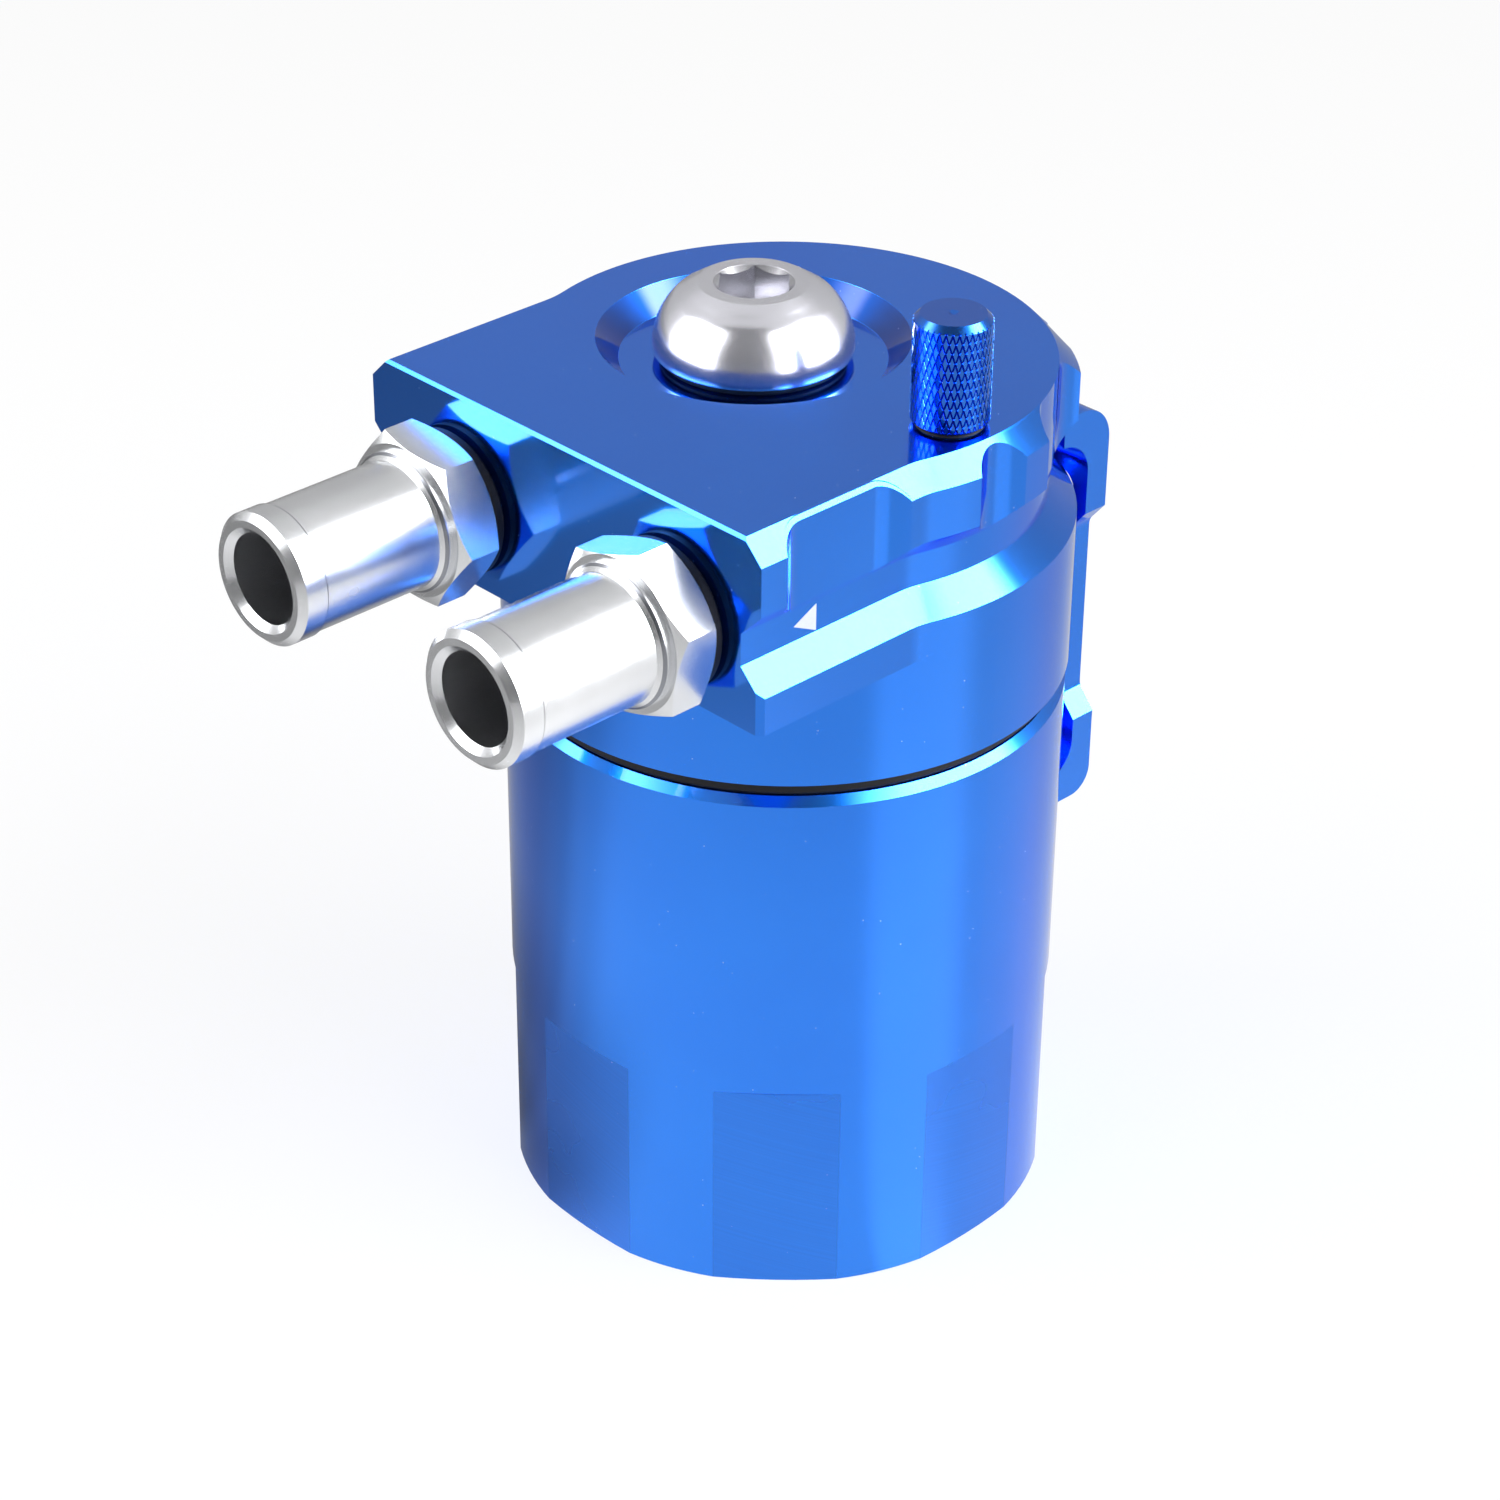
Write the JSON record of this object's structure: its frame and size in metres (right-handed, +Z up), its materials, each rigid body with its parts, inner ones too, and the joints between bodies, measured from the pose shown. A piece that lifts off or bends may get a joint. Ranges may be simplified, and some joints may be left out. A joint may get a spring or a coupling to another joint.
{
  "type": "oil catch can",
  "caption": "Oil catch can: a cup screwed up into a scalloped block lid with beaded hose nipples, a domed plug and a knurled dipstick, on a waisted rear bracket.",
  "frame": {"origin": "centre of the cup's flat bottom face", "axes": "+Z up along the cup's axis; the hose nipples point along -Y, so the bracket is at +Y; the outlet nipple and the dipstick are at +X"},
  "size_m": [0.0756, 0.1152, 0.1364],
  "materials": {
    "blue_anodised": "blue anodised, bright",
    "satin_aluminium": "fine turned, satin",
    "plain_aluminium": "as machined",
    "steel": "plain",
    "rubber": "matt",
    "mesh": "knitted wire, stated as fabric for its low density"
  },
  "bodies": {
    "cup": {"can_body": "blue_anodised"},
    "cup_ring": {"can_seal_ring": "rubber"},
    "head": {"lid": "blue_anodised", "inlet_nipple": "satin_aluminium", "outlet_nipple": "satin_aluminium", "inlet_seal_ring": "rubber", "outlet_seal_ring": "rubber", "inlet_pipe": "plain_aluminium", "baffle_plate": "plain_aluminium", "mesh_pad": "mesh", "pad_retainer": "plain_aluminium", "baffle_stays": "plain_aluminium", "baffle_screws": "steel", "bracket": "blue_anodised", "bracket_screws": "steel"},
    "plug_ring": {"plug_seal_ring": "rubber"},
    "plug": {"centre_plug": "satin_aluminium"},
    "dipstick_ring": {"dipstick_seal_ring": "rubber"},
    "dipstick": {"dipstick_knob": "blue_anodised", "dipstick_rod": "steel"}
  },
  "joints": [
    {"name": "head_rise", "type": "slide", "parent": "cup", "child": "cup_ring", "axis": [0, 0, 1], "range_m": [0, 0.0075]},
    {"name": "head_turn", "type": "hinge", "parent": "cup_ring", "child": "head", "pos_m": [0, 0, 0.0793], "axis": [0, 0, 1], "range_deg": [0, 1800]},
    {"name": "plug_rise", "type": "slide", "parent": "head", "child": "plug_ring", "axis": [0, 0, 1], "range_m": [0, 0.0075]},
    {"name": "plug_turn", "type": "hinge", "parent": "plug_ring", "child": "plug", "pos_m": [-0.0066, 0, 0.1196], "axis": [0, 0, 1], "range_deg": [0, 1800]},
    {"name": "dipstick_rise", "type": "slide", "parent": "head", "child": "dipstick_ring", "axis": [0, 0, 1], "range_m": [0, 0.009]},
    {"name": "dipstick_turn", "type": "hinge", "parent": "dipstick_ring", "child": "dipstick", "pos_m": [0.0283, 0, 0.122], "axis": [0, 0, 1], "range_deg": [0, 3240]}
  ],
  "couplings": [
    {"joint": "head_turn", "follows": "head_rise", "rad_per_m": 4188.8},
    {"joint": "plug_turn", "follows": "plug_rise", "rad_per_m": 4188.8},
    {"joint": "dipstick_turn", "follows": "dipstick_rise", "rad_per_m": 6283.2}
  ]
}
